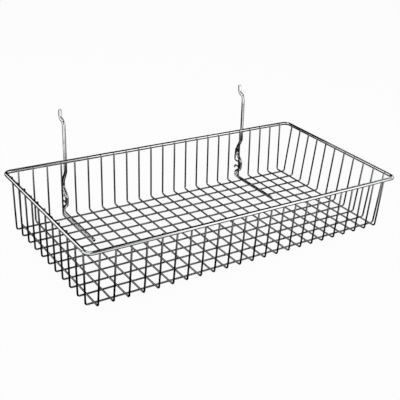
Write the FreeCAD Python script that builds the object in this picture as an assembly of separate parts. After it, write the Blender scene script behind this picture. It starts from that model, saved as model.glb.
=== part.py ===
"""Wire display basket with two welded hangers, for a slotted, pegged or grid wall panel.

The basket is a welded mesh tray. Cross wires run front to back and long wires run end to end;
each is one length of wire bent up at both ends, so its ends are also the basket's walls. A heavy
hoop is welded round the outside of the wall wires. Two heavy hangers come up behind the back wall.
Each ends in an up-turned peg, runs down behind the hoop, steps forward into a notch that seats on
a panel's wire, and returns as a leg welded under the floor. A thin wire hook is welded in each notch.

Millimetres. +X along the length, +Y towards the wall panel, +Z up. The model is worked out about the
middle of the hoop and then moved, so that the origin is the middle of the footprint at its lowest point.
"""
import math
import os

import FreeCAD
import Part

V = FreeCAD.Vector
ALONG_X = V(1, 0, 0)
ALONG_Y = V(0, 1, 0)

# ---- Wire sizes and welds ----
HOOP_WIRE_D = 6.35           # quarter-inch frame wire
MESH_WIRE_D = 3.0
HANGER_WIRE_D = 6.0          # passes a quarter-inch peg hole
HOOK_WIRE_D = 3.0
WELD_GAP = 0.05              # between wires that are welded where they touch
THIN_WIRE_SIDES = 12         # thin wires are drawn many-sided, because there are so many of them
CHORDS_PER_TURN = 12         # a bend is drawn as this many straight chords to a full turn, or 2 at least

# ---- Basket ----
HOOP_LENGTH = 609.6          # outside to outside
HOOP_WIDTH = 304.8           # outside to outside
HOOP_CORNER_R = 11.0         # centreline
BASKET_HEIGHT = 101.6        # underside of the floor to the top of the hoop
MESH_PITCH = 25.4
MESH_BEND_R = 4.0            # centreline
WALL_SPREAD = 5.4            # how far the walls lean out between the floor and the hoop, on average
FLOOR_SHIFT = 3.5            # how much less the front wall leans than that, and how much more the back one
WIRE_TIP_DROP = 1.8          # the wall wires' ends stop this far below the top of the hoop

# ---- Wall panel that the hangers are made for ----
PANEL_WIRE_D = 6.35
PANEL_PITCH = 76.2           # between a grid panel's wires
PITCHES_SPANNED = 2          # from the wire in the pegs' crooks to the wire in the hooks' slots

# ---- Hangers ----
HANGER_GAP_FROM_END = 4      # counted in mesh gaps from either end of the basket
HANGER_BEND_R = 7.5          # centreline
STEM_LEAN_DEGREES = 5.0      # back from upright
NECK_REACH = 12.0
NECK_RISE = 2.6
CROOK_CLEARANCE = 1.6        # between the neck and a panel wire in the peg's crook
PEG_LENGTH = 15.5
PEG_LEAN_DEGREES = 11.0      # back from upright
TIP_CHAMFER = 1.2
PAD_SETBACK = 7.6            # from the stem at the hoop back to the stretch that bears on the panel
NOTCH_DEPTH = 15.3
HEEL_SETBACK = 12.5          # from the notch's bottom back to the heel
HEEL_HEIGHT = 9.5            # from the leg's centreline up to the heel's upper turn
HEEL_SLOPE_RISE = 8.5
NOTCH_HEIGHT = 17.5          # upright stretch at the bottom of the notch
NOTCH_SLOPE_RISE = 13.0
PAD_HEIGHT = 11.5
KINK_RISE = 19.5
LEG_BEND_R = 6.0             # centreline
WELDED_WIRE_COUNT = 4        # long wires that each leg is welded under, counted from the back
LEG_OVERHANG = 8.0           # past the last of them

# ---- Thin hooks in the notches ----
HOOK_BEND_R = 3.0            # centreline
HOOK_TOP_LAP = 8.0           # length welded against the hanger above the notch
SLOT_CLEARANCE = 1.1         # round a panel wire in the slot between the hook's two returns
HOOK_TIP_SETBACK = 13.2      # from the stretch in the notch back to the tip
HOOK_TIP_DROP = 6.0

MITRED_CORNERS = 1           # how a sweep turns a corner of its path
SEAM_TURN_DEGREES = 45.0     # keeps a round section's seam out of the plane of its bends

# ---- Worked out from the above ----
HOOP_R = HOOP_WIRE_D / 2
MESH_R = MESH_WIRE_D / 2
HANGER_R = HANGER_WIRE_D / 2
HOOK_R = HOOK_WIRE_D / 2

# Heights, from the underside of the hangers' legs.
LEG_Z = HANGER_R
LONG_Z = HANGER_WIRE_D + WELD_GAP + MESH_R
CROSS_Z = LONG_Z + MESH_WIRE_D + WELD_GAP
HOOP_Z = LONG_Z - MESH_R + BASKET_HEIGHT - HOOP_R
WIRE_TIP_Z = HOOP_Z + HOOP_R - WIRE_TIP_DROP

# Where the wall wires stand at the hoop's height, and where they meet the floor.
WIRE_TO_HOOP = HOOP_R + WELD_GAP + MESH_R
END_TOP_X = HOOP_LENGTH / 2 - HOOP_R - WIRE_TO_HOOP
SIDE_TOP_Y = HOOP_WIDTH / 2 - HOOP_R - WIRE_TO_HOOP
END_FLOOR_X = END_TOP_X - WALL_SPREAD
FRONT_FLOOR_Y = -(SIDE_TOP_Y - WALL_SPREAD) - FLOOR_SHIFT
BACK_FLOOR_Y = (SIDE_TOP_Y - WALL_SPREAD) - FLOOR_SHIFT


def wires_that_fit(nearer_edge):
    """How many wires stand on the flat of the floor, one pitch apart, clear of the bends at its edges."""
    flat = 2 * (nearer_edge - MESH_BEND_R)
    return int(flat // MESH_PITCH) + 1


CROSS_COUNT = wires_that_fit(END_FLOOR_X)
LONG_COUNT = wires_that_fit(min(-FRONT_FLOOR_Y, BACK_FLOOR_Y))


def cross_wire_x(number):
    """Cross wires are numbered from 1 at the left end."""
    return (number - (CROSS_COUNT + 1) / 2) * MESH_PITCH


def long_wire_y(number):
    """Long wires are numbered from 1 at the back."""
    return ((LONG_COUNT + 1) / 2 - number) * MESH_PITCH


class Bend:
    """The arc that turns a path's corner: its radius, middle, two ends and half the angle it turns."""

    def __init__(self, before, corner, after, radius):
        back = (before - corner).normalize()
        ahead = (after - corner).normalize()
        self.half_turn = (math.pi - back.getAngle(ahead)) / 2
        self.radius = radius
        self.middle = corner + (back + ahead).normalize() * (radius / math.cos(self.half_turn))
        self.start = corner + back * (radius * math.tan(self.half_turn))
        self.end = corner + ahead * (radius * math.tan(self.half_turn))

    def swung(self, angle, reach):
        """The point at an angle round from the arc's start, at a distance from its middle."""
        arm = self.start - self.middle
        swing = FreeCAD.Rotation(arm.cross(self.end - self.middle), math.degrees(angle))
        return self.middle + swing.multVec(arm).normalize() * reach

    def turns(self):
        """The points where the bend's chords meet; the chords touch its arc on the outside."""
        count = max(2, round(CHORDS_PER_TURN * self.half_turn / math.pi))
        half_chord = self.half_turn / count
        return [self.swung(half_chord * (2 * index + 1), self.radius / math.cos(half_chord))
                for index in range(count)]

    def arc(self):
        return Part.Arc(self.start, self.swung(self.half_turn, self.radius), self.end).toShape()


def bent_path(points, radii, true_arcs=0):
    """A path through the points, with a bend of the given radius at each one between its ends.

    The first few bends can be true arcs; the others are drawn as chords.
    """
    edges = []
    here = points[0]
    bends = [Bend(*corner) for corner in zip(points, points[1:], points[2:], radii)]
    for bend in bends[:true_arcs]:
        edges += [Part.makeLine(here, bend.start), bend.arc()]
        here = bend.end
    for bend in bends[true_arcs:]:
        for turn in bend.turns():
            edges.append(Part.makeLine(here, turn))
            here = turn
    edges.append(Part.makeLine(here, points[-1]))
    return Part.Wire(edges)


def swept(path, section):
    return Part.Solid(path.makePipeShell([section], True, False, MITRED_CORNERS))


def heavy_wire(points, radii, wire_radius, true_arcs=0):
    """A round wire, bent at each of the points between its ends."""
    ahead = points[1] - points[0]
    circle = Part.Circle(points[0], ahead, wire_radius).toShape()
    circle.rotate(points[0], ahead, SEAM_TURN_DEGREES)
    return swept(bent_path(points, radii, true_arcs), Part.Wire(circle))


def thin_wire(points, radii, wire_radius, across):
    """A many-sided wire, bent in the plane that across is square to; one of its flats faces across."""
    start = points[0]
    outward = across.cross((points[1] - start).normalize())
    corner_reach = wire_radius / math.cos(math.pi / THIN_WIRE_SIDES)
    corners = []
    for index in range(THIN_WIRE_SIDES):
        angle = (2 * index + 1) * math.pi / THIN_WIRE_SIDES
        corners.append(start + (across * math.cos(angle) + outward * math.sin(angle)) * corner_reach)
    return swept(bent_path(points, radii), Part.makePolygon(corners + corners[:1]))


def chamfered_end(solid, end_point, size):
    """Takes the edge off the flat wire end that lies at end_point."""
    end_edges = [edge for edge in solid.Edges
                 if isinstance(edge.Curve, Part.Circle)
                 and edge.Curve.Center.distanceToPoint(end_point) < WELD_GAP]
    return solid.makeChamfer(size, end_edges)


# ---- Basket pieces ----
def hoop():
    """One wire bent to a hoop; its ends are butted and welded at the middle of the back."""
    half_x = HOOP_LENGTH / 2 - HOOP_R
    half_y = HOOP_WIDTH / 2 - HOOP_R
    half_gap = WELD_GAP / 2
    points = [V(-half_gap, half_y, HOOP_Z), V(-half_x, half_y, HOOP_Z), V(-half_x, -half_y, HOOP_Z),
              V(half_x, -half_y, HOOP_Z), V(half_x, half_y, HOOP_Z), V(half_gap, half_y, HOOP_Z)]
    return heavy_wire(points, [HOOP_CORNER_R] * 4, HOOP_R)


def wall_tip(floor_place, top_place, floor_z):
    """Where a wall wire's end is: on the wall's slope, at the height of the tips."""
    slope = (top_place - floor_place) / (HOOP_Z - floor_z)
    return floor_place + slope * (WIRE_TIP_Z - floor_z)


def cross_wire(x):
    points = [V(x, wall_tip(FRONT_FLOOR_Y, -SIDE_TOP_Y, CROSS_Z), WIRE_TIP_Z), V(x, FRONT_FLOOR_Y, CROSS_Z),
              V(x, BACK_FLOOR_Y, CROSS_Z), V(x, wall_tip(BACK_FLOOR_Y, SIDE_TOP_Y, CROSS_Z), WIRE_TIP_Z)]
    return thin_wire(points, [MESH_BEND_R] * 2, MESH_R, ALONG_X)


def long_wire(y):
    tip_x = wall_tip(END_FLOOR_X, END_TOP_X, LONG_Z)
    points = [V(-tip_x, y, WIRE_TIP_Z), V(-END_FLOOR_X, y, LONG_Z),
              V(END_FLOOR_X, y, LONG_Z), V(tip_x, y, WIRE_TIP_Z)]
    return thin_wire(points, [MESH_BEND_R] * 2, MESH_R, ALONG_Y)


# ---- Hanger profile, as points in the upright plane through the hanger ----
def leaning(length, lean_degrees):
    """A step up a line that leans back from upright."""
    lean = math.radians(lean_degrees)
    return V(0, length * math.sin(lean), length * math.cos(lean))


def on_stem(height):
    """The point of the stem's leaning centreline at a height; it passes just behind the hoop."""
    return AT_HOOP + leaning((height - HOOP_Z) / math.cos(math.radians(STEM_LEAN_DEGREES)), STEM_LEAN_DEGREES)


AT_HOOP = V(0, HOOP_WIDTH / 2 + WELD_GAP + HANGER_R, HOOP_Z)
PAD_Y = AT_HOOP.y + PAD_SETBACK
NOTCH_Y = PAD_Y - NOTCH_DEPTH
HEEL_Y = NOTCH_Y + HEEL_SETBACK

LEG_END = V(0, long_wire_y(WELDED_WIRE_COUNT) - LEG_OVERHANG, LEG_Z)
HEEL_FOOT = V(0, HEEL_Y, LEG_Z)
HEEL_TOP = V(0, HEEL_Y, LEG_Z + HEEL_HEIGHT)
NOTCH_FOOT = V(0, NOTCH_Y, HEEL_TOP.z + HEEL_SLOPE_RISE)
NOTCH_TOP = V(0, NOTCH_Y, NOTCH_FOOT.z + NOTCH_HEIGHT)
PAD_FOOT = V(0, PAD_Y, NOTCH_TOP.z + NOTCH_SLOPE_RISE)
PAD_TOP = V(0, PAD_Y, PAD_FOOT.z + PAD_HEIGHT)
KINK_TOP = on_stem(PAD_TOP.z + KINK_RISE)

# One panel wire lies in the peg's crook, just above the neck, and another in the slot, whole pitches below.
SLOT_Z = (NOTCH_FOOT.z + NOTCH_TOP.z) / 2
CROOK_Z = SLOT_Z + PITCHES_SPANNED * PANEL_PITCH
PEG_FOOT_Z = CROOK_Z - PANEL_WIRE_D / 2 - CROOK_CLEARANCE - HANGER_R
NECK = on_stem(PEG_FOOT_Z - NECK_RISE)
PEG_FOOT = NECK + V(0, NECK_REACH, NECK_RISE)
PEG_TIP = PEG_FOOT + leaning(PEG_LENGTH, PEG_LEAN_DEGREES)


def hanger(x):
    at_x = V(x, 0, 0)
    points = [PEG_TIP, PEG_FOOT, NECK, KINK_TOP, PAD_TOP, PAD_FOOT, NOTCH_TOP, NOTCH_FOOT,
              HEEL_TOP, HEEL_FOOT, LEG_END]
    radii = [HANGER_BEND_R] * 8 + [LEG_BEND_R]
    # The peg's bend is a true arc, so that the peg is a square-ended cylinder.
    wire = heavy_wire([point + at_x for point in points], radii, HANGER_R, true_arcs=1)
    return chamfered_end(wire, PEG_TIP + at_x, TIP_CHAMFER)


def notch_hook(x):
    """Thin wire: down the back of the hanger, into the notch, out again and down to a short tip."""
    side_by_side = HANGER_R + WELD_GAP + HOOK_R
    back_y = PAD_Y + side_by_side
    in_notch_y = NOTCH_Y + side_by_side
    half_slot = (PANEL_WIRE_D + SLOT_CLEARANCE) / 2 + HOOK_R
    loop_z = SLOT_Z + half_slot
    return_z = SLOT_Z - half_slot
    tip_y = in_notch_y + HOOK_TIP_SETBACK
    points = [V(x, back_y, PAD_FOOT.z + HOOK_TOP_LAP), V(x, back_y, loop_z), V(x, in_notch_y, loop_z),
              V(x, in_notch_y, return_z), V(x, tip_y, return_z), V(x, tip_y, return_z - HOOK_TIP_DROP)]
    return thin_wire(points, [HOOK_BEND_R] * 4, HOOK_R, ALONG_X)


# ---- The whole part ----
def peg_back_y():
    """The furthest that a peg reaches back, at the lower edge of its chamfered tip."""
    lean = math.radians(PEG_LEAN_DEGREES)
    return PEG_TIP.y - TIP_CHAMFER * math.sin(lean) + HANGER_R * math.cos(lean)


HANGER_X = cross_wire_x(CROSS_COUNT - HANGER_GAP_FROM_END) + MESH_PITCH / 2
FOOTPRINT_MIDDLE_Y = (peg_back_y() - HOOP_WIDTH / 2) / 2

pieces = {"rim_hoop": hoop()}
for number in range(1, CROSS_COUNT + 1):
    pieces["cross_wire_%02d" % number] = cross_wire(cross_wire_x(number))
for number in range(1, LONG_COUNT + 1):
    pieces["long_wire_%02d" % number] = long_wire(long_wire_y(number))
for side, side_x in (("left", -HANGER_X), ("right", HANGER_X)):
    pieces["hanger_" + side] = hanger(side_x)
    pieces["notch_hook_" + side] = notch_hook(side_x)

os.makedirs("parts", exist_ok=True)
for name, shape in pieces.items():
    shape.translate(V(0, -FOOTPRINT_MIDDLE_Y, 0))
    shape.exportStep("parts/" + name + ".step")
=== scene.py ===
"""A chrome-plated wire display basket with two welded hangers, dressed over its CAD frame.

The CAD wires bend in short straight chords. Here each one is replaced, in the same place and at the same
thickness, by a smooth round wire with true bends, and a weld bead is added wherever two wires touch. The
hoop and the mesh are slightly uneven, as bent wire is. Lengths are in metres.
"""
import math
import random
from collections import namedtuple

import bmesh
import bpy
from mathutils import Matrix, Quaternion, Vector, noise


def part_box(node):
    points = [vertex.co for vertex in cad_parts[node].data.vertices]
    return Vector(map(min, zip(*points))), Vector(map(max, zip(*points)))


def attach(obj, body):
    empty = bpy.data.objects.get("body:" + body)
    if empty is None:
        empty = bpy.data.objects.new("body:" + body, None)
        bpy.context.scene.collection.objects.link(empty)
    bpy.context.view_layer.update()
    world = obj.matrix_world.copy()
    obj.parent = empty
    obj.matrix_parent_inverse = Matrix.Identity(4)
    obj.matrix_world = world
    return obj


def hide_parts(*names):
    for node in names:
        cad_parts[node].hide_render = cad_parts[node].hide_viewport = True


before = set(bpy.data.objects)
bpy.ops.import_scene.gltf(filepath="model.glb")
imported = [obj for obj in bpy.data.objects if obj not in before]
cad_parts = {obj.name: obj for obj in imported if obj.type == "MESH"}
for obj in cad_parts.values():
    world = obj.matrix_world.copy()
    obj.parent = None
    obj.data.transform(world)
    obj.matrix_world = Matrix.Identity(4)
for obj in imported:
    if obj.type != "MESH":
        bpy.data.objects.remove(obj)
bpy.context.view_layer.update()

MM = 0.001
ROOT = "root"
SEED = 11
SIDES = ("left", "right")
ALONG_X = 0
ALONG_Y = 1
X_WAY = Vector((1, 0, 0))
Y_WAY = Vector((0, 1, 0))
Z_WAY = Vector((0, 0, 1))

# ---- Wires: sizes that the frame's boxes don't give ----
MESH_BEND_R = 4 * MM
END_SPREADS = (5.4 * MM, 5.4 * MM)     # how far the left and right walls lean out between floor and hoop
SIDE_SPREADS = (1.9 * MM, 8.9 * MM)    # the same for the front and back walls
HOOP_CORNER_R = 11 * MM
HANGER_BEND_R = 7.5 * MM
LEG_BEND_R = 6 * MM
HOOK_BEND_R = 3 * MM
CUT_CHAMFER = 0.35 * MM            # burr taken off a cut wire end
PEG_CHAMFER = 1.2 * MM

# ---- Hanger profile, from the stem at the hoop ----
STEM_LEAN = math.radians(5)
PEG_LEAN = math.radians(11)
PEG_LENGTH = 15.5 * MM
NECK_REACH = 12 * MM
NECK_RISE = 2.6 * MM
PAD_SETBACK = 7.6 * MM
NOTCH_DEPTH = 15.3 * MM
HEEL_SETBACK = 12.5 * MM
HEEL_HEIGHT = 9.5 * MM
HEEL_SLOPE_RISE = 8.5 * MM
NOTCH_HEIGHT = 17.5 * MM
NOTCH_SLOPE_RISE = 13 * MM
PAD_HEIGHT = 11.5 * MM
KINK_RISE = 19.5 * MM

# ---- Thin hooks in the notches ----
SLOT_HEIGHT = 7.45 * MM            # between the hook's two returns
HOOK_TOP_LAP = 8 * MM
HOOK_TIP_SETBACK = 13.2 * MM
HOOK_TIP_DROP = 6 * MM

# ---- How finely the wires are drawn, and how uneven they are ----
BEND_STEP = math.radians(9)
RUN_STEP = 12 * MM
THIN_SIDES = 14
HEAVY_SIDES = 24
UNEVEN_THIN = 0.22 * MM
UNEVEN_HEAVY = 0.25 * MM
UNEVEN_WAVE = 70 * MM
UNEVEN_SHIFT = 50                  # how far each wire's noise may be shifted, in waves
UNEVEN_CUT = 1.8 * MM              # how much shorter a wall wire's end may be cut
SHARP_EDGE = math.radians(40)

# ---- Weld beads: half sizes, side to side and then up or along ----
WELD_GAP = 0.05 * MM               # between two welded wires
BEAD_THICK = 0.75 * MM
BEAD_RINGS = 6
BEAD_SIDES = 10
FLOOR_BEAD = (1.5 * MM, 1.9 * MM)  # the smallest and the largest, both round
RIM_BEAD = (1.5 * MM, 2.2 * MM)
STEM_BEAD = (3.2 * MM, 2.6 * MM)
LEG_BEAD = (2.4 * MM, 1.8 * MM)
PAD_BEAD = (1.7 * MM, 3.5 * MM)
NOTCH_BEAD = (1.7 * MM, 2.5 * MM)

# ---- Plating: the size and the detail of each noise ----
HAZE = (28 * MM, 3)                # lighter and darker patches
POLISH = (9 * MM, 4)               # smoother and duller patches
MOTTLE = (1.1 * MM, 2)             # fine bumps
MOTTLE_STRENGTH = 0.25
MOTTLE_HEIGHT = 0.02 * MM
NOISE_LOW = 0.3                    # the noise mostly keeps between these two
NOISE_HIGH = 0.7
# painted shade: the wire colour is darkest below the first height and reaches full brightness at the second
PAINTED_SHADE_DARKEST_Z = 15 * MM
PAINTED_SHADE_END_Z = 90 * MM

# ---- Studio ----
FLOOR_SIZE = 14.0
FLOOR_SHADE = 0.9
FLOOR_ROUGHNESS = 0.9
FLOOR_WHITE = 0.94                 # share of pure white in the floor where it is seen
WORLD_FILL = 0.5                   # light from all round
CARD_SHADE = 0.015
CARD_FADE = 0.7                    # share of the way to its edge where the faded card starts to pale
CARD_LAYER = 0.4 * MM              # from the floor to the lowest card, and between cards that lie on it
STRIP_WIDTH = 14 * MM              # white strips on the cards, left of the hangers' legs
STRIP_SPACE = 2 * MM
FLAT = (0, 0, 0)
UPRIGHT = (math.radians(90), 0, 0)

# ---- Camera ----
CAMERA_PLACE = Vector((-711.4, -967.8, 631.0)) * MM
CAMERA_YAW = 0.6329                # radians, from +Y towards +X
CAMERA_PITCH = 0.4496              # down from level
CAMERA_ROLL = 0.0841               # its right side raised
FOCAL_PIXELS = 764.6
FRAME_PIXELS = 400
SENSOR_MM = 36.0
CLIP_NEAR = 0.01
CLIP_FAR = 50

# ---- What is handed on: radii are the wires' own, and places are on their centre lines ----
Hoop = namedtuple("Hoop", "radius z front back left right")
MeshWire = namedtuple("MeshWire", "floor_corner radius")
Profile = namedtuple("Profile", "peg_tip peg_foot neck kink_top pad_top pad_foot notch_top notch_foot "
                                "heel_top heel_foot leg_end")
Hook = namedtuple("Hook", "radius back_y in_notch_y slot_z")    # slot_z is the middle of the slot
Hanger = namedtuple("Hanger", "profile hook")

random.seed(SEED)
noise.seed_set(SEED)


# ---- Paths ----
def rounded(points, radii):
    """The path through the points, turning each inner corner on an arc of its radius."""
    path = [points[0]]
    for before, corner, after, radius in zip(points, points[1:], points[2:], radii):
        back = (before - corner).normalized()
        ahead = (after - corner).normalized()
        half_turn = (math.pi - back.angle(ahead)) / 2
        middle = corner + (back + ahead).normalized() * (radius / math.cos(half_turn))
        arc_start = corner + back * (radius * math.tan(half_turn)) - middle
        arc_end = corner + ahead * (radius * math.tan(half_turn)) - middle
        axis = arc_start.cross(arc_end).normalized()
        steps = max(2, math.ceil(2 * half_turn / BEND_STEP))
        for index in range(steps + 1):
            path.append(middle + Quaternion(axis, 2 * half_turn * index / steps) @ arc_start)
    return path + [points[-1]]


def with_runs_divided(path):
    """The same path, with long straight runs cut into steps."""
    out = [path[0]]
    for start, end in zip(path, path[1:]):
        steps = max(1, round((end - start).length / RUN_STEP))
        out += [start.lerp(end, index / steps) for index in range(1, steps + 1)]
    return out


def uneven(path, amount):
    """The path with slow waves a fraction of a millimetre high, as bent wire has."""
    shift = Vector([random.uniform(-UNEVEN_SHIFT, UNEVEN_SHIFT) for _ in range(3)])
    return [point + noise.noise_vector(point / UNEVEN_WAVE + shift) * amount for point in path]


# ---- Meshes ----
def add_ring(bm, centre, tangent, normal, radius, sides):
    """The points of a wire's outline where it crosses centre."""
    side = tangent.cross(normal)
    ring = []
    for index in range(sides):
        angle = 2 * math.pi * index / sides
        ring.append(bm.verts.new(centre + (normal * math.cos(angle) + side * math.sin(angle)) * radius))
    return ring


def join_rings(bm, first, second):
    """A band of faces from one ring to the next."""
    count = len(first)
    for index in range(count):
        after = (index + 1) % count
        bm.faces.new((first[index], first[after], second[after], second[index]))


def tangents(path):
    """The direction of the path at each of its points."""
    steps = [(b - a).normalized() for a, b in zip(path, path[1:])]
    inner = [(a + b).normalized() for a, b in zip(steps, steps[1:])]
    return [steps[0]] + inner + [steps[-1]]


def add_rings(bm, path, directions, radius, sides):
    """Rings all along the path, joined into a tube, and the first and last ring's normals."""
    normal = directions[0].orthogonal().normalized()
    normals = []
    rings = []
    for point, direction in zip(path, directions):
        normal = (normal - direction * normal.dot(direction)).normalized()
        normals.append(normal)
        rings.append(add_ring(bm, point, direction, normal, radius, sides))
    for first, second in zip(rings, rings[1:]):
        join_rings(bm, first, second)
    return rings, normals[0], normals[-1]


def add_closed_wire(bm, path, radius, sides):
    """A round wire along a path whose last point leads back to its first."""
    directions = tangents(path)
    directions[0] = (path[1] - path[-1]).normalized()
    directions[-1] = (path[0] - path[-2]).normalized()
    rings, _, _ = add_rings(bm, path, directions, radius, sides)
    join_rings(bm, rings[-1], rings[0])


def add_wire(bm, path, radius, sides, chamfer):
    """A round wire along a path, cut square at both ends and chamfered there."""
    start_tip, end_tip = path[0], path[-1]
    first_step = (path[1] - start_tip).normalized()
    last_step = (end_tip - path[-2]).normalized()
    path = [start_tip + first_step * chamfer] + path[1:-1] + [end_tip - last_step * chamfer]
    directions = tangents(path)
    rings, first_normal, last_normal = add_rings(bm, path, directions, radius, sides)
    start_cap = add_ring(bm, start_tip, directions[0], first_normal, radius - chamfer, sides)
    end_cap = add_ring(bm, end_tip, directions[-1], last_normal, radius - chamfer, sides)
    join_rings(bm, start_cap, rings[0])
    join_rings(bm, rings[-1], end_cap)
    bm.faces.new(list(reversed(start_cap)))
    bm.faces.new(end_cap)


def add_bead(bm, centre, across, along, thin):
    """A squashed bead; the three vectors are its half sizes."""
    poles = [bm.verts.new(centre + thin), bm.verts.new(centre - thin)]
    rings = []
    for level in range(1, BEAD_RINGS):
        rise = math.pi * level / BEAD_RINGS
        ring = []
        for index in range(BEAD_SIDES):
            angle = 2 * math.pi * index / BEAD_SIDES
            flat = across * math.cos(angle) + along * math.sin(angle)
            ring.append(bm.verts.new(centre + thin * math.cos(rise) + flat * math.sin(rise)))
        rings.append(ring)
    for first, second in zip(rings, rings[1:]):
        join_rings(bm, first, second)
    for index in range(BEAD_SIDES):
        after = (index + 1) % BEAD_SIDES
        bm.faces.new((poles[0], rings[0][after], rings[0][index]))
        bm.faces.new((poles[1], rings[-1][index], rings[-1][after]))


def finished(bm, name, material, nodes=()):
    """Makes the mesh an object that rides on the part and stands for the CAD nodes."""
    bmesh.ops.recalc_face_normals(bm, faces=bm.faces)
    mesh = bpy.data.meshes.new(name)
    bm.to_mesh(mesh)
    bm.free()
    mesh.polygons.foreach_set("use_smooth", [True] * len(mesh.polygons))
    mesh.set_sharp_from_angle(angle=SHARP_EDGE)
    mesh.materials.append(material)
    piece = bpy.data.objects.new(name, mesh)
    bpy.context.scene.collection.objects.link(piece)
    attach(piece, ROOT)
    if nodes:
        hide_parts(*nodes)


# ---- Materials ----
def chrome(name, light, dark, smooth, rough, edge, painted_foot_shade_share=1.0):
    """Bright plate over drawn wire: faint haze in patches, and fine mottling.

    Painted shade: the colour is darkened towards the wire's foot, so painted_foot_shade_share of the
    brightness is left there. edge is how strongly it mirrors where it is seen at a grazing angle.
    """
    material = bpy.data.materials.new(name)
    material.use_nodes = True
    nodes = material.node_tree.nodes
    links = material.node_tree.links
    shader = nodes["Principled BSDF"]
    shader.inputs["Metallic"].default_value = 1.0
    shader.inputs["Specular Tint"].default_value = (edge, edge, edge, 1)
    place = nodes.new("ShaderNodeTexCoord")

    def cloud(size, detail):
        made = nodes.new("ShaderNodeTexNoise")
        made.inputs["Scale"].default_value = 1 / size
        made.inputs["Detail"].default_value = detail
        links.new(place.outputs["Object"], made.inputs["Vector"])
        return made.outputs["Fac"]

    def spread(source, from_low, from_high, to_low, to_high):
        made = nodes.new("ShaderNodeMapRange")
        made.inputs["From Min"].default_value = from_low
        made.inputs["From Max"].default_value = from_high
        made.inputs["To Min"].default_value = to_low
        made.inputs["To Max"].default_value = to_high
        links.new(source, made.inputs["Value"])
        return made.outputs["Result"]

    tone = nodes.new("ShaderNodeMix")
    tone.data_type = "RGBA"
    tone.inputs["A"].default_value = (*dark, 1)
    tone.inputs["B"].default_value = (*light, 1)
    links.new(spread(cloud(*HAZE), NOISE_LOW, NOISE_HIGH, 0, 1), tone.inputs["Factor"])
    height = nodes.new("ShaderNodeSeparateXYZ")
    links.new(place.outputs["Object"], height.inputs["Vector"])
    # painted shade: the base colour darkens towards the wire's foot
    painted_foot_shade = spread(height.outputs["Z"], PAINTED_SHADE_DARKEST_Z, PAINTED_SHADE_END_Z, painted_foot_shade_share, 1)
    shaded_tone = nodes.new("ShaderNodeVectorMath")
    shaded_tone.operation = "SCALE"
    links.new(tone.outputs["Result"], shaded_tone.inputs["Vector"])
    links.new(painted_foot_shade, shaded_tone.inputs["Scale"])
    links.new(shaded_tone.outputs["Vector"], shader.inputs["Base Color"])
    links.new(spread(cloud(*POLISH), NOISE_LOW, NOISE_HIGH, smooth, rough), shader.inputs["Roughness"])
    bump = nodes.new("ShaderNodeBump")
    bump.inputs["Strength"].default_value = MOTTLE_STRENGTH
    bump.inputs["Distance"].default_value = MOTTLE_HEIGHT
    links.new(cloud(*MOTTLE), bump.inputs["Height"])
    links.new(bump.outputs["Normal"], shader.inputs["Normal"])
    return material


FRAME_CHROME = chrome("frame_chrome", light=(0.80, 0.81, 0.82), dark=(0.70, 0.71, 0.73),
                      smooth=0.04, rough=0.10, edge=0.5)
# painted shade: the mesh wires keep only half their brightness at their foot
MESH_CHROME = chrome("mesh_chrome", light=(0.64, 0.65, 0.66), dark=(0.52, 0.53, 0.54),
                     smooth=0.08, rough=0.18, edge=0.5, painted_foot_shade_share=0.5)
HANGER_CHROME = chrome("hanger_chrome", light=(0.82, 0.83, 0.84), dark=(0.70, 0.71, 0.72),
                       smooth=0.04, rough=0.10, edge=0.3)
WELD_CHROME = chrome("weld_chrome", light=(0.42, 0.42, 0.43), dark=(0.30, 0.30, 0.31),
                     smooth=0.22, rough=0.40, edge=0.5)


# ---- The hoop ----
def build_hoop():
    """The heavy wire round the top, drawn from the butt weld at the middle of its back."""
    low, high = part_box("rim_hoop")
    radius = (high.z - low.z) / 2
    z = (high.z + low.z) / 2
    left, right = low.x + radius, high.x - radius
    front, back = low.y + radius, high.y - radius
    joint = Vector((0, back, z))
    corners = [Vector((left, back, z)), Vector((left, front, z)), Vector((right, front, z)),
               Vector((right, back, z))]
    path = with_runs_divided(rounded([joint] + corners + [joint], [HOOP_CORNER_R] * len(corners)))
    bm = bmesh.new()
    add_closed_wire(bm, uneven(path[:-1], UNEVEN_HEAVY), radius, HEAVY_SIDES)
    finished(bm, "rim_hoop_plated", FRAME_CHROME, ["rim_hoop"])
    return Hoop(radius, z, front, back, left, right)


# ---- The mesh ----
def mesh_wire_points(node, running, edges, spreads, hoop):
    """A U-shaped wire's corner points and radius, from its CAD box and the hoop.

    running is the axis that it runs along. edges are the hoop's two sides that it is welded to, and
    spreads how far its two ends lean out to them.
    """
    low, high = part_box(node)
    across = ALONG_X if running == ALONG_Y else ALONG_Y
    radius = (high[across] - low[across]) / 2
    floor_z = low.z + radius
    # The box's top is the edge of the cut end that leans most, a little above that end's centre.
    full_tip_z = high.z - radius * math.sin(math.atan2(max(spreads), hoop.z - floor_z))
    middle = (low + high) / 2
    ends = []
    for edge, spread, inward in zip(edges, spreads, (1, -1)):
        at_hoop = edge + inward * (hoop.radius + WELD_GAP + radius)
        at_floor = at_hoop + inward * spread
        tip_z = full_tip_z - random.uniform(0, UNEVEN_CUT)
        carried = (tip_z - floor_z) / (hoop.z - floor_z)
        pair = []
        for place, z in ((at_floor - inward * spread * carried, tip_z), (at_floor, floor_z)):
            point = Vector((middle.x, middle.y, z))
            point[running] = place
            pair.append(point)
        ends.append(pair)
    return ends[0] + ends[1][::-1], radius


def build_mesh_wire(node, running, edges, spreads, hoop):
    """One wall, the floor and the other wall, in one length of thin wire."""
    points, radius = mesh_wire_points(node, running, edges, spreads, hoop)
    path = with_runs_divided(rounded(points, [MESH_BEND_R] * (len(points) - 2)))
    bm = bmesh.new()
    add_wire(bm, uneven(path, UNEVEN_THIN), radius, THIN_SIDES, CUT_CHAMFER)
    finished(bm, node + "_plated", MESH_CHROME, [node])
    return MeshWire(points[1], radius)


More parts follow.
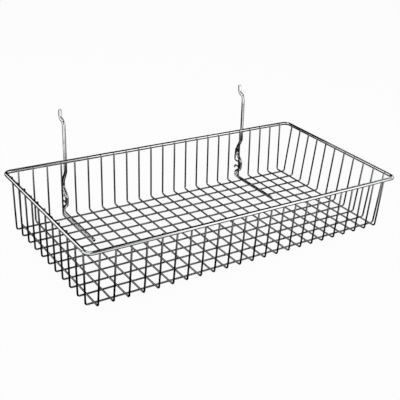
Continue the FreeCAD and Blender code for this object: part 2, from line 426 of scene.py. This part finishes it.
def build_mesh(kind, running, edges, spreads, hoop):
    """All the wires of one kind, in the order of their numbers."""
    nodes = sorted(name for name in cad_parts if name.startswith(kind))
    return [build_mesh_wire(node, running, edges, spreads, hoop) for node in nodes]


# ---- Hangers ----
def leaning(length, lean):
    """A step up of this length that leans back."""
    return Vector((0, length * math.sin(lean), length * math.cos(lean)))


def hanger_profile(low, high, radius, hoop):
    """The corner points of a hanger, from the leg's height and the stem's place behind the hoop."""
    x = (high.x + low.x) / 2
    at_hoop = Vector((x, hoop.back + hoop.radius + WELD_GAP + radius, hoop.z))
    pad_y = at_hoop.y + PAD_SETBACK
    notch_y = pad_y - NOTCH_DEPTH
    heel_y = notch_y + HEEL_SETBACK
    leg_z = low.z + radius
    leg_end = Vector((x, low.y, leg_z))
    heel_foot = Vector((x, heel_y, leg_z))
    heel_top = heel_foot + Z_WAY * HEEL_HEIGHT
    notch_foot = Vector((x, notch_y, heel_top.z + HEEL_SLOPE_RISE))
    notch_top = notch_foot + Z_WAY * NOTCH_HEIGHT
    pad_foot = Vector((x, pad_y, notch_top.z + NOTCH_SLOPE_RISE))
    pad_top = pad_foot + Z_WAY * PAD_HEIGHT
    kink_rise = pad_top.z + KINK_RISE - hoop.z
    kink_top = at_hoop + leaning(kink_rise / math.cos(STEM_LEAN), STEM_LEAN)
    # Here too the box's top is the edge of the cut end, inside its chamfer.
    peg_tip_z = high.z - (radius - PEG_CHAMFER) * math.sin(PEG_LEAN)
    peg_foot_z = peg_tip_z - PEG_LENGTH * math.cos(PEG_LEAN)
    neck = at_hoop + leaning((peg_foot_z - NECK_RISE - hoop.z) / math.cos(STEM_LEAN), STEM_LEAN)
    peg_foot = neck + Vector((0, NECK_REACH, NECK_RISE))
    peg_tip = peg_foot + leaning(PEG_LENGTH, PEG_LEAN)
    return Profile(peg_tip, peg_foot, neck, kink_top, pad_top, pad_foot, notch_top, notch_foot,
                   heel_top, heel_foot, leg_end)


def build_hook(side, profile, hanger_radius):
    """The thin wire down the hanger's pad, in across its notch and out again below the slot."""
    node = "notch_hook_" + side
    low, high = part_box(node)
    radius = (high.x - low.x) / 2
    beside = hanger_radius + WELD_GAP + radius
    back_y = profile.pad_foot.y + beside
    in_notch_y = profile.notch_top.y + beside
    tip_y = in_notch_y + HOOK_TIP_SETBACK
    slot_z = (profile.notch_top.z + profile.notch_foot.z) / 2
    upper_z = slot_z + SLOT_HEIGHT / 2 + radius
    lower_z = slot_z - SLOT_HEIGHT / 2 - radius
    corners = [(back_y, profile.pad_foot.z + HOOK_TOP_LAP), (back_y, upper_z), (in_notch_y, upper_z),
               (in_notch_y, lower_z), (tip_y, lower_z), (tip_y, lower_z - HOOK_TIP_DROP)]
    points = [Vector((profile.pad_foot.x, y, z)) for y, z in corners]
    bm = bmesh.new()
    add_wire(bm, rounded(points, [HOOK_BEND_R] * (len(points) - 2)), radius, THIN_SIDES, CUT_CHAMFER)
    finished(bm, node + "_plated", HANGER_CHROME, [node])
    return Hook(radius, back_y, in_notch_y, slot_z)


def build_hanger(side, hoop):
    """A peg, neck, stem, notch, heel and leg in one heavy wire, and the thin hook in its notch."""
    node = "hanger_" + side
    low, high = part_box(node)
    radius = (high.x - low.x) / 2
    profile = hanger_profile(low, high, radius, hoop)
    bends = len(profile) - 2
    radii = [HANGER_BEND_R] * (bends - 1) + [LEG_BEND_R]
    path = with_runs_divided(rounded(profile, radii))
    bm = bmesh.new()
    add_wire(bm, path, radius, HEAVY_SIDES, PEG_CHAMFER)
    finished(bm, node + "_plated", HANGER_CHROME, [node])
    return Hanger(profile, build_hook(side, profile, radius))


# ---- Welds ----
def build_floor_welds(cross_wires, long_wires):
    """A bead at every crossing of the floor."""
    bm = bmesh.new()
    for cross in cross_wires:
        for long in long_wires:
            height = (cross.floor_corner.z + long.floor_corner.z) / 2
            centre = Vector((cross.floor_corner.x, long.floor_corner.y, height))
            size = random.uniform(*FLOOR_BEAD)
            add_bead(bm, centre, X_WAY * size, Y_WAY * size, Z_WAY * BEAD_THICK)
    finished(bm, "floor_welds", WELD_CHROME)


def build_rim_welds(cross_wires, long_wires, hoop):
    """A bead wherever a wall wire touches the hoop."""
    wide, high = RIM_BEAD
    bm = bmesh.new()
    for cross in cross_wires:
        for inner_side in (hoop.front + hoop.radius, hoop.back - hoop.radius):
            touch = Vector((cross.floor_corner.x, inner_side, hoop.z))
            add_bead(bm, touch, X_WAY * wide, Z_WAY * high, Y_WAY * BEAD_THICK)
    for long in long_wires:
        for inner_side in (hoop.left + hoop.radius, hoop.right - hoop.radius):
            touch = Vector((inner_side, long.floor_corner.y, hoop.z))
            add_bead(bm, touch, Y_WAY * wide, Z_WAY * high, X_WAY * BEAD_THICK)
    finished(bm, "rim_welds", WELD_CHROME)


def build_hanger_welds(hangers, long_wires, hoop):
    """Beads that hold each hanger to the hoop and the floor, and each thin hook to its hanger."""
    bm = bmesh.new()

    def upright_bead(centre, size):
        add_bead(bm, centre, X_WAY * size[0], Z_WAY * size[1], Y_WAY * BEAD_THICK)

    for profile, hook in hangers:
        x = profile.leg_end.x
        upright_bead(Vector((x, hoop.back + hoop.radius, hoop.z)), STEM_BEAD)
        for long in long_wires:
            if long.floor_corner.y > profile.leg_end.y:
                touch = Vector((x, long.floor_corner.y, long.floor_corner.z - long.radius))
                add_bead(bm, touch, X_WAY * LEG_BEAD[0], Y_WAY * LEG_BEAD[1], Z_WAY * BEAD_THICK)
        mid_lap_z = profile.pad_foot.z + HOOK_TOP_LAP / 2
        upright_bead(Vector((x, hook.back_y - hook.radius, mid_lap_z)), PAD_BEAD)
        upright_bead(Vector((x, hook.in_notch_y - hook.radius, hook.slot_z)), NOTCH_BEAD)
    finished(bm, "hanger_welds", WELD_CHROME)


# ---- Studio ----
def seen_switch(nodes, links):
    """1 for what the camera sees directly, or mirrored in metal, or through glass."""
    path = nodes.new("ShaderNodeLightPath")
    either = nodes.new("ShaderNodeMath")
    either.operation = "MAXIMUM"
    links.new(path.outputs["Is Camera Ray"], either.inputs[0])
    links.new(path.outputs["Is Glossy Ray"], either.inputs[1])
    any_of = nodes.new("ShaderNodeMath")
    any_of.operation = "MAXIMUM"
    links.new(either.outputs[0], any_of.inputs[0])
    links.new(path.outputs["Is Transmission Ray"], any_of.inputs[1])
    return any_of.outputs[0]


def build_world():
    """White where it is seen, and a dimmer fill where it lights."""
    world = bpy.data.worlds.new("studio")
    bpy.context.scene.world = world
    world.use_nodes = True
    nodes, links = world.node_tree.nodes, world.node_tree.links
    fill = nodes["Background"]
    fill.inputs["Color"].default_value = (1, 1, 1, 1)
    fill.inputs["Strength"].default_value = WORLD_FILL
    seen = nodes.new("ShaderNodeBackground")
    seen.inputs["Color"].default_value = (1, 1, 1, 1)
    seen.inputs["Strength"].default_value = 1.0
    mix = nodes.new("ShaderNodeMixShader")
    links.new(seen_switch(nodes, links), mix.inputs[0])
    links.new(fill.outputs[0], mix.inputs[1])
    links.new(seen.outputs[0], mix.inputs[2])
    links.new(mix.outputs[0], nodes["World Output"].inputs["Surface"])


def floor_material():
    """Pale where it lights and nearly pure white where it is seen, so only soft shadows show on it."""
    material = bpy.data.materials.new("pale_floor")
    material.use_nodes = True
    nodes, links = material.node_tree.nodes, material.node_tree.links
    shader = nodes["Principled BSDF"]
    shader.inputs["Base Color"].default_value = (FLOOR_SHADE, FLOOR_SHADE, FLOOR_SHADE, 1)
    shader.inputs["Roughness"].default_value = FLOOR_ROUGHNESS
    shader.inputs["Specular IOR Level"].default_value = 0.0
    white = nodes.new("ShaderNodeEmission")
    white.inputs["Strength"].default_value = 1.0
    share = nodes.new("ShaderNodeMath")
    share.operation = "MULTIPLY"
    share.inputs[1].default_value = FLOOR_WHITE
    links.new(seen_switch(nodes, links), share.inputs[0])
    mix = nodes.new("ShaderNodeMixShader")
    links.new(share.outputs[0], mix.inputs[0])
    links.new(shader.outputs[0], mix.inputs[1])
    links.new(white.outputs[0], mix.inputs[2])
    links.new(mix.outputs[0], nodes["Material Output"].inputs["Surface"])
    return material


def card_material(name="black_card"):
    """Black without gloss."""
    material = bpy.data.materials.new(name)
    material.use_nodes = True
    shader = material.node_tree.nodes["Principled BSDF"]
    shader.inputs["Base Color"].default_value = (CARD_SHADE, CARD_SHADE, CARD_SHADE, 1)
    shader.inputs["Specular IOR Level"].default_value = 0.0
    shader.inputs["Roughness"].default_value = 1.0
    return material


def faded_card_material():
    """Black in the middle, and paler towards its edges."""
    material = card_material("faded_card")
    nodes, links = material.node_tree.nodes, material.node_tree.links
    place = nodes.new("ShaderNodeTexCoord")
    centred = nodes.new("ShaderNodeVectorMath")
    centred.operation = "MULTIPLY_ADD"
    centred.inputs[1].default_value = (2, 2, 0)
    centred.inputs[2].default_value = (-1, -1, 0)
    links.new(place.outputs["Generated"], centred.inputs[0])
    outward = nodes.new("ShaderNodeVectorMath")
    outward.operation = "ABSOLUTE"
    links.new(centred.outputs["Vector"], outward.inputs[0])
    split = nodes.new("ShaderNodeSeparateXYZ")
    links.new(outward.outputs["Vector"], split.inputs["Vector"])
    furthest = nodes.new("ShaderNodeMath")
    furthest.operation = "MAXIMUM"
    links.new(split.outputs["X"], furthest.inputs[0])
    links.new(split.outputs["Y"], furthest.inputs[1])
    shade = nodes.new("ShaderNodeMapRange")
    shade.inputs["From Min"].default_value = CARD_FADE
    shade.inputs["From Max"].default_value = 1.0
    shade.inputs["To Min"].default_value = CARD_SHADE
    shade.inputs["To Max"].default_value = 1.0
    links.new(furthest.outputs[0], shade.inputs["Value"])
    links.new(shade.outputs["Result"], nodes["Principled BSDF"].inputs["Base Color"])
    return material


def plane(name, size, place, material, turn=FLAT):
    """A rectangle that belongs to the studio and not to the basket."""
    mesh = bpy.data.meshes.new(name)
    x, y = size[0] / 2, size[1] / 2
    mesh.from_pydata([(-x, -y, 0), (x, -y, 0), (x, y, 0), (-x, y, 0)], [], [(0, 1, 2, 3)])
    mesh.materials.append(material)
    made = bpy.data.objects.new(name, mesh)
    made.location = place
    made.rotation_euler = turn
    bpy.context.scene.collection.objects.link(made)
    return made


def card(name, size, place, material, turn=FLAT):
    """A card that only the plating mirrors, as a photographer darkens chrome; it blocks no light."""
    made = plane(name, size, place, material, turn)
    made.visible_camera = False
    made.visible_diffuse = False
    made.visible_shadow = False
    made.visible_transmission = False
    made.visible_volume_scatter = False


def softbox(name, size, place, target, radiance):
    """A rectangular lamp turned to its target; metal mirrors it as white at a radiance of 1."""
    light = bpy.data.lights.new(name, "AREA")
    light.shape = "RECTANGLE"
    light.size, light.size_y = size
    light.energy = radiance * math.pi * size[0] * size[1]
    made = bpy.data.objects.new(name, light)
    made.location = place
    made.rotation_euler = (Vector(target) - Vector(place)).to_track_quat("-Z", "Y").to_euler()
    bpy.context.scene.collection.objects.link(made)


def build_studio(hangers):
    """A white floor, with black cards round the basket and three softboxes that draw the highlights.

    Each hanger's leg mirrors a white strip beside it, which gives it a bright line among the dark ones.
    """
    build_world()
    pale = floor_material()
    black = card_material()
    plane("floor", size=(FLOOR_SIZE, FLOOR_SIZE), place=(0, 0, 0), material=pale)
    card("card_below", size=(1.14, 0.98), place=(0.05, 0.13, CARD_LAYER), material=faded_card_material())
    card("card_back_floor", size=(2.4, 1.2), place=(0, 0.9, 2 * CARD_LAYER), material=black)
    card("card_right_floor", size=(1.02, 1.6), place=(1.09, 0.25, 3 * CARD_LAYER), material=black)
    for side, hanger in zip(SIDES, hangers):
        heel, leg_end = hanger.profile.heel_foot, hanger.profile.leg_end
        strip_x = leg_end.x - STRIP_SPACE - STRIP_WIDTH / 2
        strip_y = (heel.y + leg_end.y) / 2
        card("pale_strip_" + side, size=(STRIP_WIDTH, heel.y - leg_end.y),
             place=(strip_x, strip_y, 4 * CARD_LAYER), material=pale)
    card("card_behind", size=(4.4, 1.84), place=(-0.2, 1.5, 0.92), material=black, turn=UPRIGHT)
    card("card_above", size=(4.4, 2.9), place=(0.2, 0.05, 1.9), material=black)
    card("card_front", size=(3.6, 1.2), place=(0.6, -1.5, 1.1), material=black, turn=UPRIGHT)
    softbox("left_back_box", size=(0.40, 0.70), place=(-0.66, 0.66, 0.50),
            target=(-0.25, 0.06, 0.05), radiance=1.4)
    softbox("right_front_box", size=(0.78, 1.10), place=(0.81, -1.02, 0.66),
            target=(0.23, -0.15, 0.1), radiance=1.2)
    softbox("overhead_box", size=(1.2, 0.8), place=(-0.3, 0.2, 1.7),
            target=(0, 0, 0.05), radiance=1.6)


# ---- Camera ----
def build_camera():
    """A camera that looks along its yaw and pitch, rolled a little to the side."""
    data = bpy.data.cameras.new("camera")
    data.sensor_fit = "AUTO"
    data.sensor_width = SENSOR_MM
    data.lens = FOCAL_PIXELS / FRAME_PIXELS * SENSOR_MM
    data.clip_start = CLIP_NEAR
    data.clip_end = CLIP_FAR
    camera = bpy.data.objects.new("camera", data)
    ahead = Vector((math.sin(CAMERA_YAW) * math.cos(CAMERA_PITCH),
                    math.cos(CAMERA_YAW) * math.cos(CAMERA_PITCH), -math.sin(CAMERA_PITCH)))
    level = Vector((math.cos(CAMERA_YAW), -math.sin(CAMERA_YAW), 0))
    above = level.cross(ahead)
    right = level * math.cos(CAMERA_ROLL) + above * math.sin(CAMERA_ROLL)
    up = above * math.cos(CAMERA_ROLL) - level * math.sin(CAMERA_ROLL)
    turn = Matrix((right, up, -ahead)).transposed()
    camera.matrix_world = Matrix.Translation(CAMERA_PLACE) @ turn.to_4x4()
    bpy.context.scene.collection.objects.link(camera)
    bpy.context.scene.camera = camera


# ---- Assemble ----
hoop = build_hoop()
cross_wires = build_mesh("cross_wire", ALONG_Y, (hoop.front, hoop.back), SIDE_SPREADS, hoop)
long_wires = build_mesh("long_wire", ALONG_X, (hoop.left, hoop.right), END_SPREADS, hoop)
hangers = [build_hanger(side, hoop) for side in SIDES]
build_floor_welds(cross_wires, long_wires)
build_rim_welds(cross_wires, long_wires, hoop)
build_hanger_welds(hangers, long_wires, hoop)

build_studio(hangers)
build_camera()
bpy.context.scene.view_settings.view_transform = "Standard"
